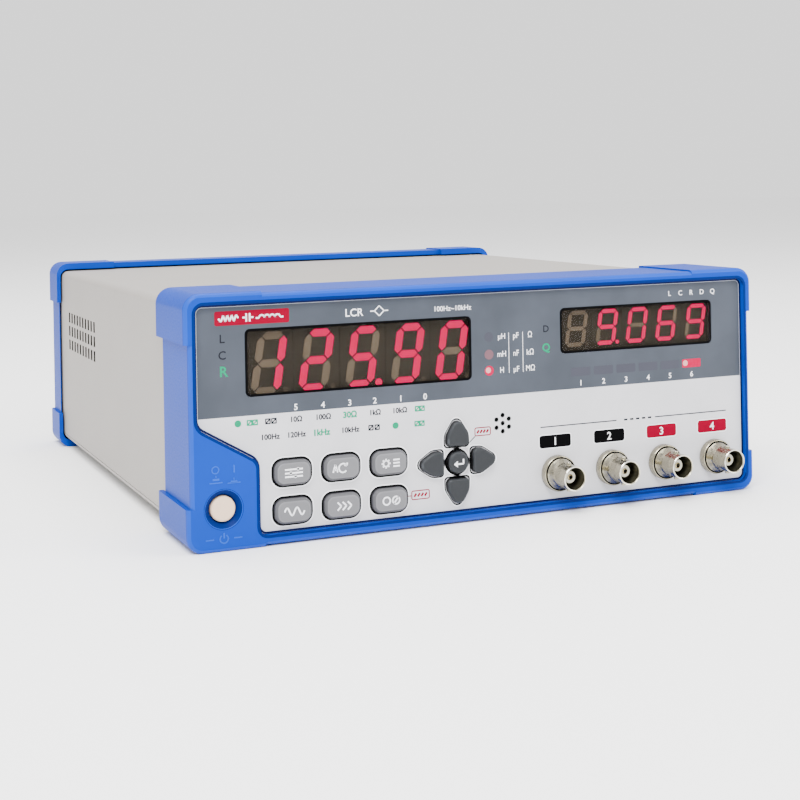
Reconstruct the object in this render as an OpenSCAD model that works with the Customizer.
// Bench LCR meter: a sheet steel case between two moulded bezels, with a keypad, two numeric
// displays and four coaxial terminals on its front.
// X is right and Z is up, seen from the front. Y runs to the back. Depths named _d, and every
// depth given to slab, block and rod, are counted backwards from the front bezel's face.

/* [Casing] */
// Width across the corner pads
overall_w = 241.5; // [241.5:0.5:250]
// Height across the corner pads
overall_h = 92; // [92:0.5:98]
// Depth from the front bezel's face to the rear bezel's back
overall_d = 264.6; // [262:0.2:300]
// Outer corner radius of the bezels
corner_r = 6; // [5:0.5:7]
// How far the corner pads stand out at the sides
pad_out = 1.5; // [0.5:0.1:1.6]
// How far the corner pads stand out above and below
pad_rise = 0.6; // [0.3:0.1:0.8]
// Depth of the front bezel between its pads
bezel_d = 36; // [28:1:38]
// Depth of the front bezel's corner pads
bezel_pad_d = 40; // [39:1:44]
// Depth of the rear bezel between its pads
rear_bezel_d = 19; // [14:1:20]
// Depth of the rear bezel's corner pads
rear_pad_d = 22; // [21:1:26]
// Thickness of the steel sheet
sheet = 1.2; // [0.8:0.1:1.4]
// Depth of the recess that holds the rear panel
rear_recess = 8; // [7:0.5:10]

/* [Front panel] */
// How far the panel lies behind the bezel's face
panel_d = 2; // [1.5:0.1:2.2]
// Thickness of the front plate
plate_t = 2; // [1.5:0.1:2.2]
// Width of the bezel's rim around the panel
rim_w = 4; // [3.7:0.1:4.2]
// Pitch of the main display's digits
main_pitch = 18.3; // [18.2:0.1:18.4]
// Pitch of the second display's digits
aux_pitch = 14; // [13.9:0.1:14.1]

/* [Keys] */
// Key width
key_w = 14; // [12:0.5:15]
// Key height
key_h = 9; // [8:0.5:10]
// How far a key stands out of the panel
key_out = 2.4; // [1.5:0.1:2.6]
// Travel of a key
key_travel = 0.5; // [0.2:0.05:0.5]
// Radius of the power button
power_r = 4.6; // [4:0.1:4.7]

/* [Terminals] */
// Distance between the coaxial terminals
bnc_pitch = 24.5; // [20:0.5:25]
// Height of the terminals' axis
bnc_z = 15.2; // [14:0.1:17]
// How far a terminal stands out of the panel
bnc_len = 14.5; // [14:0.1:15]
// Barrel radius at the mouth
bnc_r = 4.8; // [4.7:0.05:4.85]

/* [Hidden] */
$fn = 48;
eps = 0.01;
arc_steps = 8;
bnc_out = bnc_len - panel_d;
face_y = (bnc_out - overall_d) / 2;
half_w = overall_w / 2;

// Case tube
case_x = half_w - 2.75;
case_z0 = 4.2;
case_z1 = overall_h - 3.9;
case_r = 3;
case_d0 = 5;
case_d1 = overall_d - 5;
seam_z = 7;
floor_z = case_z0 + sheet;
cover_screw_x = case_x - 9;
cover_screw_d = [60, 200];
bezel_gap = 0.9;

// Front panel layout
overlay_t = 0.3;
plate_d = panel_d + overlay_t;
plate_back = plate_d + plate_t;
open_x = half_w - rim_w;
open_z0 = rim_w + 0.3;
open_z1 = overall_h - rim_w - 0.2;
power_pos = [-107.3, 15.2];
main_x = -52.85;
main_z = [54, 78.5];
aux_x = 66.5;
aux_z = [61.5, 79.5];
key_cols = [-81, -62, -43];
key_rows = [25.8, 11.9];
nav_pos = [-14.8, 23.4];
nav_base = 6.2;
nav_len = 10.4;
nav_w = 9.2;
enter_r = 4.2;
buzzer_pos = [5.1, 36.4];
unit_led_x = -0.3;
unit_led_z = [57, 63, 70];
ratio_led = [[24.7, 64.5], [24.7, 72.5]];
symbol_led = [[-106.5, 75.5], [-106.2, 69.6], [-105.9, 63.8]];
mode_led = [[-101, 44.8], [-70, 39], [-39.8, 39], [-29.5, 39], [-30, 44.8]];
bin_led_x = [40, 50.4, 60.8, 71.2, 81.6, 92];
bin_led_z = 54;
bnc_x = [for (i = [0:3]) 28.5 + bnc_pitch * i];

// Boards
board_t = 1.6;
display_board_d = 17;
main_board_z = 9.4;
board_top = main_board_z + board_t;
standoff_pos = [[-98, 62], [-98, 158], [0, 30], [98, 30], [98, 234], [-28, 234]];
panel_standoff_pos = [[-109, 82], [-109, 50], [-88, 47], [13, 28], [109, 82], [109, 30], [10, 82]];

// Transformer
core_x = -75;
core_z = 33;
core_d = 188;
core_t = 26;

// Rear panel layout
rear_d = overall_d - rear_recess;
rear_t = 1.5;
rear_in = rear_d - rear_t;
inlet_pos = [-84, 46];
socket_pos = inlet_pos + [0, 6];
drawer_pos = inlet_pos - [0, 10.5];
serial_pos = [78, 26];
handler_pos = [30, 62];
ground_pos = [-34, 22];

// ---- Outlines ----

function unit(v) = v / norm(v);

// The points of corner b between its neighbours a and c, rounded to radius r
function corner_arc(a, b, c, r) =
    r == 0 ? [b] :
    let (u = unit(a - b), v = unit(c - b))
    let (half = acos(u * v) / 2, centre = b + unit(u + v) * r / sin(half))
    let (start = b + u * r / tan(half) - centre, from = atan2(start.y, start.x))
    let (turn = (180 - 2 * half) * sign(u.y * v.x - u.x * v.y))
    [for (i = [0:arc_steps])
        let (a = from + turn * i / arc_steps) centre + r * [cos(a), sin(a)]];

function xz(p) = [p[0], p[1]];

// A closed outline, counter-clockwise, from corners given as [x, z, radius]
function outline(c) = [
    for (i = [0:len(c) - 1])
        each corner_arc(xz(c[(i + len(c) - 1) % len(c)]), xz(c[i]), xz(c[(i + 1) % len(c)]), c[i][2])
];

module rrect(x0, x1, z0, z1, r) {
    polygon(outline([[x0, z0, r], [x1, z0, r], [x1, z1, r], [x0, z1, r]]));
}

// A rounded rectangle about its centre
module pill(p, w, h, r) {
    rrect(p.x - w / 2, p.x + w / 2, p.y - h / 2, p.y + h / 2, r);
}

// The visible panel: a rectangle whose lower left corner is cut away for the power button
module panel_outline(grow = 0) {
    left = -open_x - grow;
    right = open_x + grow;
    bottom = open_z0 - grow;
    top = open_z1 + grow;
    polygon(outline([
        [-94 - grow, bottom, 3], [right, bottom, 3], [right, top, 3], [left, top, 3],
        [left, 44.3 - grow, 5], [-94 - grow, 31 - grow, 5]
    ]));
}

module case_outline(grow) {
    rrect(-case_x - grow, case_x + grow, case_z0 - grow, case_z1 + grow, case_r + grow);
}

// Outline of the plate behind the rim
module plate_outline(grow = 0) {
    rrect(-open_x - 0.8 - grow, open_x + 0.8 + grow, open_z0 - 0.8 - grow, open_z1 + 0.8 + grow, 3);
}

// Arrow key, pointing up from the middle of the cluster
module nav_outline(grow = 0) {
    side = nav_w / 2 + grow;
    polygon(outline([
        [-side, nav_base - grow, 2], [side, nav_base - grow, 2], [side - 0.3, nav_base + 4.2, 4],
        [0, nav_base + nav_len + 1.2 + grow, 2.6], [0.3 - side, nav_base + 4.2, 4]
    ]));
}

// ---- Solids placed by depth ----

module slab(d0, d1) {
    translate([0, face_y + d1, 0]) rotate([90, 0, 0]) linear_extrude(d1 - d0) children();
}

module block(x0, x1, d0, d1, z0, z1) {
    translate([x0, face_y + d0, z0]) cube([x1 - x0, d1 - d0, z1 - z0]);
}

// A round bar along Y
module rod(p, d0, d1, r) {
    translate([p.x, face_y + d0, p.y]) rotate([-90, 0, 0]) cylinder(h = d1 - d0, r = r);
}

// A turned piece about an axis along Y: profile points are [radius, distance forwards of depth d]
module turned(p, d, profile) {
    translate([p.x, face_y + d, p.y]) rotate([90, 0, 0]) rotate_extrude() polygon(profile);
}

// An upright bar
module post(p, z0, z1, r) {
    translate([p.x, face_y + p.y, z0]) cylinder(h = z1 - z0, r = r);
}

// A round wire through points given as [x, depth, z]
module wire(points, r) {
    for (i = [0:len(points) - 2]) {
        a = points[i] + [0, face_y, 0];
        v = points[i + 1] - points[i];
        translate(a) rotate([0, acos(v.z / norm(v)), atan2(v.y, v.x)]) cylinder(h = norm(v), r = r);
        if (i > 0) translate(a) sphere(r * 1.06);
    }
}

// ---- Bezels ----

// A solid block with the outline of a bezel, its front edge rounded to radius rim_soft
rim_soft = 2;

module rim_block(inset_x, inset_z, depth) {
    x = half_w - inset_x;
    hull() {
        for (a = [0:18:90]) {
            back = rim_soft * (1 - sin(a));
            inset = rim_soft * (1 - cos(a));
            slab(back, back + eps) rrect(
                inset - x, x - inset, inset_z + inset, overall_h - inset_z - inset, corner_r - inset
            );
        }
        slab(rim_soft, depth) rrect(-x, x, inset_z, overall_h - inset_z, corner_r);
    }
}

// The outside of a bezel: a ring body with four raised corner pads
module bezel_block(ring_depth, pad_depth, pad_low, pad_high) {
    pad_x = 29;
    rim_block(pad_out, pad_rise, ring_depth);
    intersection() {
        rim_block(0, 0, pad_depth);
        for (side = [-1, 1], low = [0, 1])
            block(
                side < 0 ? -half_w - 1 : half_w - pad_x, side < 0 ? pad_x - half_w : half_w + 1,
                -1, pad_depth + 1,
                low ? -1 : overall_h - pad_high, low ? pad_low : overall_h + 1
            );
    }
}

module front_bezel() {
    color("royalblue")
    difference() {
        bezel_block(bezel_d, bezel_pad_d, 16, 18);
        slab(-1, panel_d + eps) panel_outline();
        slab(panel_d, case_d0) plate_outline(0.1);
        slab(case_d0 - eps, bezel_pad_d + 1) case_outline(0.1);
        slab(bezel_d - 8, bezel_pad_d + 1) case_outline(bezel_gap);
        turned(power_pos, panel_d + 1, [[0, -2], [0, 4], [7.15, 4], [7, 3], [5.1, 0.8], [5.1, -2]]);
    }
}

module rear_bezel() {
    color("royalblue")
    difference() {
        translate([0, 2 * face_y + overall_d, 0]) mirror([0, 1, 0])
            bezel_block(rear_bezel_d, rear_pad_d, 17, 19.5);
        slab(overall_d - rear_pad_d - 1, overall_d - 4) case_outline(0.1);
        slab(overall_d - rear_pad_d - 1, overall_d - rear_bezel_d + 6) case_outline(bezel_gap);
        slab(overall_d - 5, overall_d + 1)
            rrect(2.3 - case_x, case_x - 2.3, case_z0 + 2.3, case_z1 - 2.3, 2);
    }
}

// ---- Case ----

vent_rows = [66.3, 59.8, 53.1];
sound_r = 0.95;
vent_pitch = 6.48;
vent_cols = [for (i = [0:9]) 167 + vent_pitch * i];
vent_w = 3.0;
vent_h = 4.8;

module case_ring() {
    difference() {
        case_outline(0);
        case_outline(-sheet);
    }
}

// The cover, with a Z-shaped bracket welded inside each side for the screws from below
module top_cover() {
    bracket_x = case_x - sheet;
    web_x = bracket_x - 2.2;
    bracket_d0 = case_d0 + 5;
    bracket_d1 = case_d1 - 5;
    color("lightgray") {
        difference() {
            slab(case_d0, case_d1) case_ring();
            block(-half_w, half_w, 0, overall_d, 0, seam_z + 0.2);
            for (z = vent_rows, d = vent_cols) {
                block(-half_w, half_w, d - vent_w / 2, d + vent_w / 2, z - vent_h / 2, z + vent_h / 2);
            }
        }
        difference() {
            for (side = [0, 1]) mirror([side, 0, 0]) {
                block(web_x - sheet, bracket_x + eps, bracket_d0, bracket_d1,
                      seam_z + 0.8, seam_z + 0.8 + sheet);
                block(web_x - sheet, web_x, bracket_d0, bracket_d1, floor_z, seam_z + 0.8 + eps);
                block(bracket_x - 14, web_x, bracket_d0, bracket_d1, floor_z, floor_z + sheet);
            }
            for (side = [-1, 1], d = cover_screw_d) post([side * cover_screw_x, d], 0, 20, 1.5);
        }
    }
}

module bottom_tray() {
    color("lightgray")
    difference() {
        slab(case_d0, case_d1) case_ring();
        block(-half_w, half_w, 0, overall_d, seam_z, overall_h);
        for (side = [-1, 1], d = cover_screw_d) post([side * cover_screw_x, d], 0, 20, 1.5);
        for (p = standoff_pos) post(p, 0, 20, 1.5);
    }
}

// A countersunk screw standing on its head, for the case's floor
module floor_screw(p, length) {
    translate([p.x, face_y + p.y, case_z0 - 0.6]) {
        cylinder(h = 0.6, r = 2.8);
        cylinder(h = length, r = 1.5);
    }
}

module cover_screws() {
    color("silver")
    for (side = [-1, 1], d = cover_screw_d) floor_screw([side * cover_screw_x, d], 5);
}

// ---- Front panel ----

module window_outline(centre, width, z, shrink = 0) {
    rrect(centre - width / 2 + shrink, centre + width / 2 - shrink, z[0] + shrink, z[1] - shrink, 2);
}

main_window_w = 90.2;
aux_window_w = 71;

module key_holes(grow) {
    for (x = key_cols, z = key_rows) pill([x, z], key_w + 2 * grow, key_h + 2 * grow, 3.3);
    for (turn = [0, 90, 180, 270]) translate(nav_pos) rotate(turn) nav_outline(grow);
    translate(nav_pos) circle(enter_r + grow);
}

// Everything that passes through both the overlay and the plate
module panel_holes() {
    window_outline(main_x, main_window_w, main_z);
    window_outline(aux_x, aux_window_w, aux_z);
    key_holes(0.35);
    for (x = bnc_x) translate([x, bnc_z]) circle(4.7);
    translate(buzzer_pos) {
        circle(sound_r);
        for (a = [30:60:330]) rotate(a) translate([3.1, 0]) circle(sound_r);
    }
}

module panel_overlay() {
    color("dimgray")
    difference() {
        slab(panel_d, plate_d) panel_outline(-0.1);
        slab(panel_d - 1, plate_d + 1) panel_holes();
    }
}

module led_holes() {
    for (p = concat(symbol_led, mode_led, ratio_led)) translate(p) circle(1.6);
    for (z = unit_led_z) translate([unit_led_x, z]) circle(2.1);
    for (x = bin_led_x) pill([x, bin_led_z], 9.1, 3.6, 0.5);
}

module front_plate() {
    color("silver")
    difference() {
        slab(plate_d, plate_back) plate_outline();
        slab(plate_d - 1, plate_back + 1) panel_holes();
        slab(plate_d - 1, plate_back + 1) led_holes();
        rod(power_pos, 0, 10, 5.4);
    }
}

module main_window() {
    color([0.24, 0.2, 0.16]) slab(panel_d, panel_d + 1.2)
        window_outline(main_x, main_window_w, main_z, 0.05);
}

module aux_window() {
    color([0.24, 0.2, 0.16]) slab(panel_d, panel_d + 1.2) window_outline(aux_x, aux_window_w, aux_z, 0.05);
}

// ---- Displays ----

digit_d = plate_back + 0.3;
digit_shift = 1.35;
segment_t = 0.25;

module digit_bodies(window_x, pitch, z, height, depth) {
    centre = window_x + digit_shift;
    middle = (z[0] + z[1]) / 2;
    for (i = [-2:2])
        block(
            centre + (i - 0.5) * pitch + 0.05, centre + (i + 0.5) * pitch - 0.05,
            digit_d, digit_d + depth, middle - height / 2, middle + height / 2
        );
}

// A point of an upright numeral, leaned over to the right
function lean(p) = [p.x + p.y * tan(9), p.y];

// One bar of a numeral: a six-sided strip from p to q
module bar(p, q, w) {
    along = unit(q - p) * w / 2;
    across = [-along.y, along.x];
    corners = [p, p + along + across, q - along + across, q, q - along - across, p + along - across];
    polygon([for (c = corners) lean(c)]);
}

// All seven bars and the decimal point of a numeral of the given width and height
module seven_segments(w, h, stroke) {
    x = (w - stroke) / 2;
    z = h / 2 - stroke / 2;
    gap = stroke * 0.12;
    for (level = [-z, 0, z]) bar([gap - x, level], [x - gap, level], stroke);
    for (side = [-x, x], low = [-z, 0]) bar([side, low + gap], [side, low + z - gap], stroke);
    translate(lean([x + stroke * 1.25, stroke * 0.55 - h / 2])) circle(stroke * 0.55);
}

module digit_faces(window_x, pitch, z, width, stroke) {
    centre = window_x + digit_shift;
    middle = (z[0] + z[1]) / 2;
    for (i = [-2:2])
        slab(digit_d - segment_t, digit_d)
            translate([centre + i * pitch, middle]) seven_segments(width, z[1] - z[0], stroke);
}

main_digit_z = [54, 76.8];
aux_digit_z = [63.6, 77.8];

module main_digits() {
    color([0.3, 0.27, 0.24]) digit_bodies(main_x, main_pitch, main_z, 27, 9);
}

module main_segments() {
    color("deeppink") digit_faces(main_x, main_pitch, main_digit_z, 11.4, 2.7);
}

module aux_digits() {
    color([0.3, 0.27, 0.24]) digit_bodies(aux_x, aux_pitch, aux_z, 19, 8);
}

module aux_segments() {
    color("deeppink") digit_faces(aux_x, aux_pitch, aux_digit_z, 8.9, 1.5);
}

module status_leds() {
    color("lime")
    for (p = concat(symbol_led, mode_led, ratio_led)) rod(p, plate_d + 0.1, display_board_d, 1.5);
    color("red")
    for (z = unit_led_z) rod([unit_led_x, z], plate_d + 0.1, display_board_d, 2);
}

module bin_leds() {
    color("red")
    for (x = bin_led_x) slab(plate_d + 0.1, display_board_d) pill([x, bin_led_z], 8.9, 3.4, 0.4);
}

// ---- Keypad ----

cap_front = panel_d - key_out;
flange_d = plate_back + 0.05;
stem_end = 12.4;
switch_d = stem_end + key_travel + 0.1;

// A keycap from its front outline, its shank outline and its flange outline
module keycap(stem) {
    soft = 0.8;
    hull() {
        slab(cap_front, cap_front + eps) children(0);
        slab(cap_front + soft, cap_front + soft + eps) children(1);
    }
    slab(cap_front + soft, flange_d + 0.1) children(1);
    slab(flange_d, flange_d + 1.2) children(2);
    rod(stem, flange_d + 1.1, stem_end, 1.8);
}

// Key 1 to 6, counted along the upper row and then the lower one
function key_pos(n) = [key_cols[(n - 1) % 3], key_rows[floor((n - 1) / 3)]];

module flat_key(n) {
    p = key_pos(n);
    color("darkgray")
    keycap(p) {
        pill(p, key_w - 1.2, key_h - 1.2, 2.7);
        pill(p, key_w, key_h, 3.3);
        pill(p, key_w + 2.2, key_h + 2.2, 1);
    }
}

// Middle of the arrow key that is turned by the given angle from pointing up
function nav_stem(turn) = nav_pos + (nav_base + 4.5) * [-sin(turn), cos(turn)];

module arrow_key(turn) {
    color("dimgray")
    keycap(nav_stem(turn)) {
        translate(nav_pos) rotate(turn) nav_outline(-0.7);
        translate(nav_pos) rotate(turn) nav_outline();
        translate(nav_pos) rotate(turn) pill([0, nav_base + 4], nav_w + 1.8, 5.4, 1);
    }
}

module key_enter() {
    soft = 0.8;
    reach = stem_end - cap_front;
    color("dimgray")
    turned(nav_pos, stem_end, [
        [0, 0], [1.8, 0], [1.8, stem_end - flange_d - 1.2], [enter_r + 0.9, stem_end - flange_d - 1.2],
        [enter_r + 0.9, stem_end - flange_d], [enter_r, stem_end - flange_d],
        [enter_r, reach - soft], [enter_r - soft, reach], [0, reach]
    ]);
}

key_stems = concat([for (n = [1:6]) key_pos(n)], [for (a = [0:90:270]) nav_stem(a)], [nav_pos]);

module tact_switches() {
    color("black")
    for (p = key_stems) {
        block(p.x - 3, p.x + 3, switch_d + 0.5, display_board_d, p.y - 3, p.y + 3);
        rod(p, switch_d, switch_d + 0.6, 1.6);
    }
}

module power_button() {
    color("ivory")
    turned(power_pos, 34, [
        [0, 0], [2, 0], [2, 28], [power_r, 28], [power_r, 32.9], [power_r - 0.5, 33.4], [0, 33.4]
    ]);
}

module power_switch() {
    color("black")
    difference() {
        block(power_pos.x - 5, power_pos.x + 5, 20, 48, board_top, board_top + 9);
        rod(power_pos, 19, 40, 2.05);
    }
}

module buzzer() {
    color("black")
    difference() {
        rod(buzzer_pos, 9, display_board_d, 6);
        rod(buzzer_pos, 8, 11, 1);
    }
}

// ---- Boards ----

module display_board() {
    color("darkgreen")
    difference() {
        slab(display_board_d, display_board_d + board_t) polygon([
            [-113, 47], [-95, 47], [-95, 7.5], [10, 7.5], [10, 25], [113, 25], [113, 85], [-113, 85]
        ]);
        for (p = panel_standoff_pos) rod(p, display_board_d - 1, display_board_d + 3, 1.5);
    }
}

module panel_standoffs() {
    color("silver")
    for (p = panel_standoff_pos) difference() {
        rod(p, plate_back, display_board_d, 2.6);
        rod(p, plate_back + 3, display_board_d + 1, 1.5);
    }
}

module main_board() {
    color("darkgreen")
    difference() {
        translate([0, face_y, main_board_z]) linear_extrude(board_t) polygon([
            [-114, 22], [114, 22], [114, 240], [-34, 240], [-34, 164], [-114, 164]
        ]);
        for (p = standoff_pos) post(p, 0, 20, 1.5);
    }
}

module board_standoffs() {
    color("gold")
    for (p = standoff_pos) difference() {
        post(p, floor_z, main_board_z, 3);
        post(p, floor_z - 1, main_board_z + 1, 1.5);
    }
}

module board_screws() {
    color("silver") {
        for (p = standoff_pos) translate([p.x, face_y + p.y, 0]) {
            translate([0, 0, board_top]) cylinder(h = 2, r = 2.8);
            translate([0, 0, case_z0]) cylinder(h = board_top + 1 - case_z0, r = 1.5);
        }
        for (p = panel_standoff_pos) {
            rod(p, plate_back + 4, display_board_d + board_t + 1, 1.5);
            rod(p, display_board_d + board_t, display_board_d + board_t + 2, 2.8);
        }
    }
}

// ---- Supply ----

core_w = 60;
core_h = 50;

module transformer_core() {
    color("slategray") {
        difference() {
            block(core_x - core_w / 2, core_x + core_w / 2, core_d, core_d + core_t,
                  core_z - core_h / 2, core_z + core_h / 2);
            for (side = [-1, 1])
                block(core_x + side * 15 - 5, core_x + side * 15 + 5, core_d - 1, core_d + core_t + 1,
                      core_z - 15, core_z + 15);
        }
        for (side = [-1, 1])
            block(
                core_x + side * 22 - 4, core_x + side * 22 + 4, core_d - 8, core_d + core_t + 8,
                floor_z, core_z - core_h / 2 + eps
            );
    }
}

module transformer_winding() {
    color("khaki")
    difference() {
        block(core_x - 19.8, core_x + 19.8, core_d - 9, core_d + core_t + 9, core_z - 14.8, core_z + 14.8);
        block(core_x - 10.1, core_x + 10.1, core_d - 0.1, core_d + core_t + 0.1, core_z - 16, core_z + 16);
    }
}

// Upright parts on the main board, as [x, depth, radius, height]
capacitor_list = [
    [-10, 200, 8, 30], [10, 200, 8, 30], [-10, 220, 6.5, 25],
    [10, 220, 6.5, 25], [30, 215, 5, 18], [44, 215, 5, 18]
];

module capacitors() {
    color("midnightblue")
    for (c = capacitor_list) post([c[0], c[1]], board_top, board_top + c[3], c[2]);
}

module heatsink() {
    color("silver")
    translate([0, face_y, board_top]) linear_extrude(32) {
        translate([-18, 180]) square([48, 4]);
        for (i = [0:6]) translate([-18 + i * 7.75, 170]) square([1.5, 11]);
    }
}

module regulators() {
    color("black")
    for (x = [-10, 6, 22]) {
        block(x - 5, x + 5, 184, 188.4, board_top + 9, board_top + 24);
        for (pin = [-2.5, 0, 2.5]) block(x + pin - 0.4, x + pin + 0.4, 186, 186.6, board_top, board_top + 9);
    }
}

module relays() {
    color("ivory")
    for (x = [20, 44, 68, 92], d = [50, 66]) block(x - 10, x + 10, d, d + 10, board_top, board_top + 11);
}

// Flat chips as [x, depth, width, length]
chip_list = [
    [-70, 60, 16, 16], [-70, 100, 12, 18], [-30, 60, 10, 26], [-30, 100, 10, 20], [-50, 130, 14, 14],
    [60, 175, 14, 14], [84, 175, 10, 20], [60, 200, 8, 20]
];

module chips() {
    color("black")
    for (c = chip_list)
        block(c[0] - c[2] / 2, c[0] + c[2] / 2, c[1], c[1] + c[3], board_top, board_top + 2.4);
}

module front_end_shield() {
    color("silver")
    difference() {
        block(5, 108, 88, 158, board_top, board_top + 18);
        block(5.6, 107.4, 88.6, 157.4, board_top - 1, board_top + 17.4);
    }
}

// ---- Wiring ----

module ribbon_cable() {
    color("gray") {
        block(-70, -36, display_board_d + board_t, display_board_d + board_t + 1, 20, 60);
        block(-70, -36, display_board_d + board_t, 45, 20, 21);
        block(-70, -36, 44, 45, board_top, 21);
    }
}

module coax_leads() {
    color("dimgray")
    for (x = bnc_x) wire([[x, 14, bnc_z], [x, 30, bnc_z], [x, 34, board_top + 1.2]], 1.2);
}

module mains_leads() {
    color("brown")
    for (z = [0, 5])
        wire([
            [-112, 49, 14 + z], [-112, 215, 20 + z],
            [inlet_pos.x - 8, 232, 36 + z], [inlet_pos.x - 8, rear_in - 20, 36 + z]
        ], 1.4);
}

// ---- Coaxial terminals ----

tail_r = 4.4;

// The shell: conical base, barrel with two bayonet lugs, and a threaded tail through the plate
module bnc_shells() {
    lug_s = 9.4;
    color("silver")
    for (x = bnc_x) {
        turned([x, bnc_z], panel_d, [
            [4.06, bnc_len - 0.4], [4.4, bnc_len], [bnc_r - 0.25, bnc_len], [bnc_r, bnc_len - 0.25],
            [bnc_r, lug_s + 1.2], [4.5, lug_s + 1.2], [4.5, 6], [6, 3.2], [6.6, 3.2],
            [7, 2.6], [7, 0], [tail_r, 0], [tail_r, -10], [2.4, -10], [2.4, 5], [4.06, 5]
        ]);
        for (side = [-1, 1])
            translate([x, face_y + panel_d - lug_s, bnc_z + side * 4]) rotate([0, 90 - side * 90, 0])
                cylinder(h = 1.6, r = 1);
    }
}

module bnc_insulators() {
    color("white")
    for (x = bnc_x) turned([x, bnc_z], panel_d, [[1.2, -10], [2.4, -10], [2.4, 10.4], [1.2, 10.4]]);
}

module bnc_contacts() {
    color("gold")
    for (x = bnc_x)
        turned([x, bnc_z], panel_d, [[0, -12], [1.2, -12], [1.2, 11], [0.68, 11], [0.68, 5.5], [0, 5.5]]);
}

module bnc_nuts() {
    color("silver")
    for (x = bnc_x) difference() {
        translate([x, face_y + plate_back, bnc_z]) rotate([-90, 0, 0]) cylinder(h = 2.2, r = 7.3, $fn = 6);
        rod([x, bnc_z], plate_back - 1, plate_back + 3, tail_r);
    }
}

// ---- Rear panel ----

inlet_w = 50;
inlet_h = 38;
body_w = 29;
serial_w = 31;
handler_w = 76;

module d_outline(p, w, h) {
    polygon(outline([
        [p.x - w / 2 + 1.2, p.y - h / 2, 1.5], [p.x + w / 2 - 1.2, p.y - h / 2, 1.5],
        [p.x + w / 2, p.y + h / 2, 1.5], [p.x - w / 2, p.y + h / 2, 1.5]
    ]));
}

function ears(p, spacing) = [p - [spacing / 2, 0], p + [spacing / 2, 0]];

rear_screw_pos = concat(
    ears(inlet_pos, 40), ears(serial_pos, 25), ears(handler_pos, 68),
    [[-106, 16], [106, 16], [-106, 78], [106, 78], [0, 80]]
);

module rear_panel() {
    inner = sheet + 0.2;
    color("gainsboro")
    difference() {
        slab(rear_in, rear_d)
            rrect(inner - case_x, case_x - inner, floor_z + 0.2, case_z1 - inner, 1.6);
        slab(rear_in - 1, rear_d + 1) {
            pill(inlet_pos, body_w + 0.4, inlet_h - 3.6, 2);
            d_outline(serial_pos, 19, 10.4);
            d_outline(handler_pos, 60, 11.4);
            for (p = rear_screw_pos) translate(p) circle(1.5);
            translate(ground_pos) circle(2);
        }
    }
}

// Line, neutral and earth blades
module pin_blades() {
    for (blade = [[-7, -2], [0, 2], [7, -2]])
        block(
            socket_pos.x + blade.x - 1, socket_pos.x + blade.x + 1, rear_d - 24, rear_d + 0.5,
            socket_pos.y + blade.y - 2, socket_pos.y + blade.y + 2
        );
}

// Mains inlet: a flange and a body with the plug's socket above the fuse drawer's pocket
module inlet_body() {
    color("black")
    difference() {
        union() {
            slab(rear_d, rear_d + 2.4) pill(inlet_pos, inlet_w, inlet_h, 3);
            slab(rear_d - 19, rear_d + 0.1) pill(inlet_pos, body_w, inlet_h - 4, 2);
        }
        slab(rear_d - 14.5, rear_d + 5) polygon(outline([
            [socket_pos.x - 12.1, socket_pos.y - 8.3, 1], [socket_pos.x + 12.1, socket_pos.y - 8.3, 1],
            [socket_pos.x + 12.1, socket_pos.y + 3, 1], [socket_pos.x + 7.5, socket_pos.y + 8.3, 1],
            [socket_pos.x - 7.5, socket_pos.y + 8.3, 1], [socket_pos.x - 12.1, socket_pos.y + 3, 1]
        ]));
        slab(rear_d - 17, rear_d + 5) pill(drawer_pos, 23, 8, 0.5);
        for (p = ears(inlet_pos, 40)) rod(p, rear_d - 1, rear_d + 3, 1.5);
        pin_blades();
    }
}

module inlet_pins() {
    color("silver") pin_blades();
}

fuse_r = 2.6;

module fuse_drawer() {
    front = rear_d + 2.8;
    color("dimgray")
    difference() {
        slab(rear_d - 16.6, front) pill(drawer_pos, 22.4, 7.4, 0.4);
        block(drawer_pos.x - 10.2, drawer_pos.x + 10.2, rear_d - 14, rear_d - 8,
              drawer_pos.y - 2.8, drawer_pos.y + 9);
        block(drawer_pos.x - 4, drawer_pos.x + 4, front - 1, front + 1,
              drawer_pos.y - 5, drawer_pos.y - 2.4);
    }
}

module fuse() {
    middle = rear_d - 11;
    color("silver")
    translate([drawer_pos.x - 10, face_y + middle, drawer_pos.y]) rotate([0, 90, 0]) {
        cylinder(h = 5, r = fuse_r);
        translate([0, 0, 4]) cylinder(h = 12, r = fuse_r - 0.3);
        translate([0, 0, 15]) cylinder(h = 5, r = fuse_r);
    }
}

// A panel socket with a D-shaped metal skirt and rows of pin holes
module d_socket(p, flange_w, flange_h, w, h, pins, pitch) {
    difference() {
        union() {
            slab(rear_d, rear_d + 1) pill(p, flange_w, flange_h, 1);
            slab(rear_in - 6, rear_d + 6) d_outline(p, w, h);
        }
        for (i = [0:pins - 1], row = [-1, 1])
            rod(p + [(i - (pins - 1) / 2) * pitch + row * pitch / 4, row * 1.4], rear_d + 1, rear_d + 7, 0.5);
        for (ear = ears(p, flange_w - 7)) rod(ear, rear_d - 1, rear_d + 2, 1.5);
    }
}

module serial_connector() {
    color("silver") d_socket(serial_pos, serial_w + 1, 12.5, 17, 8.4, 4, 2.8);
}

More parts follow.
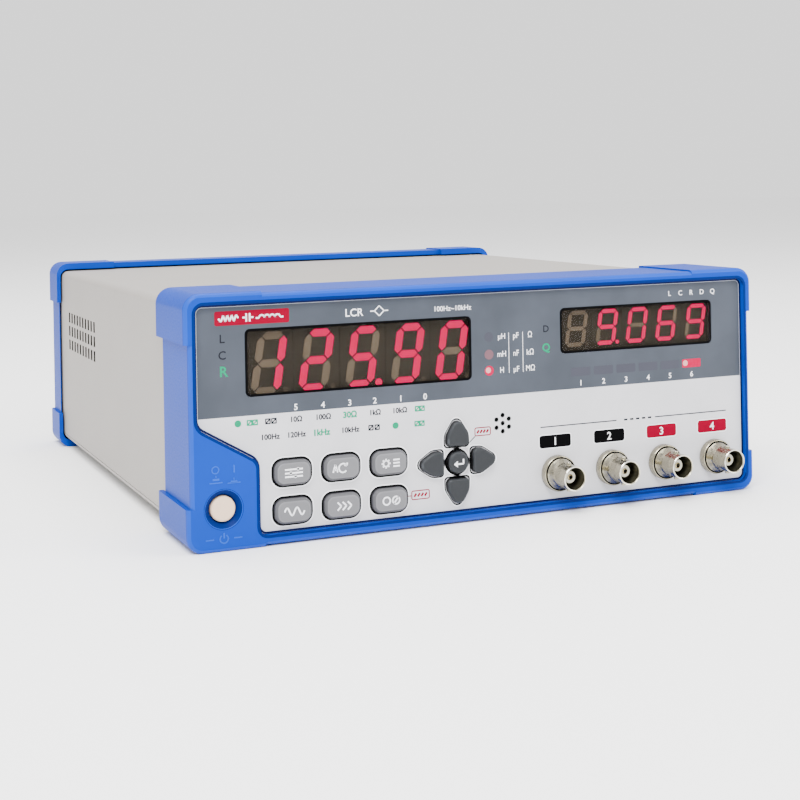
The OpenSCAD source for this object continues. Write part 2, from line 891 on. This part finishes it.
module handler_connector() {
    color("silver") d_socket(handler_pos, handler_w - 1, 15, 56, 9.4, 18, 2.8);
}

module rear_screws() {
    color("silver")
    for (p = rear_screw_pos) {
        flange = p.x < -60 && abs(p.y - inlet_pos.y) < 1 ? 2.4 : abs(p.y - 16) < 1 || p.y > 70 ? 0 : 1;
        rod(p, rear_in - 3, rear_d + flange + 0.5, 1.5);
        rod(p, rear_d + flange, rear_d + flange + 2, 2.7);
    }
}

module ground_stud() {
    color("gold") {
        rod(ground_pos, rear_in - 6, rear_d + 7.6, 1.95);
        rod(ground_pos, rear_d, rear_d + 1, 4.5);
        rod(ground_pos, rear_in - 2.5, rear_in, 4);
    }
}

module ground_nut() {
    color("gold")
    difference() {
        union() {
            rod(ground_pos, rear_d + 1.1, rear_d + 5.6, 4.6);
            for (a = [0:20:340])
                translate([ground_pos.x, face_y + rear_d + 1.6, ground_pos.y]) rotate([0, a, 0])
                    translate([4.4, 0, -0.4]) cube([0.5, 3.5, 0.8]);
        }
        rod(ground_pos, rear_d, rear_d + 7, 2);
    }
}

front_bezel();
rear_bezel();
top_cover();
bottom_tray();
front_plate();
panel_overlay();
main_window();
aux_window();
main_digits();
main_segments();
aux_digits();
aux_segments();
status_leds();
bin_leds();
display_board();
panel_standoffs();
tact_switches();
buzzer();
flat_key(1);  // key_1
flat_key(2);  // key_2
flat_key(3);  // key_3
flat_key(4);  // key_4
flat_key(5);  // key_5
flat_key(6);  // key_6
arrow_key(0);  // key_up
arrow_key(180);  // key_down
arrow_key(90);  // key_left
arrow_key(270);  // key_right
key_enter();
power_button();
power_switch();
mains_leads();
main_board();
board_standoffs();
board_screws();
transformer_core();
transformer_winding();
capacitors();
heatsink();
regulators();
relays();
chips();
front_end_shield();
ribbon_cable();
coax_leads();
bnc_shells();
bnc_insulators();
bnc_contacts();
bnc_nuts();
rear_panel();
inlet_body();
inlet_pins();
fuse_drawer();
fuse();
serial_connector();
handler_connector();
rear_screws();
ground_stud();
ground_nut();
cover_screws();
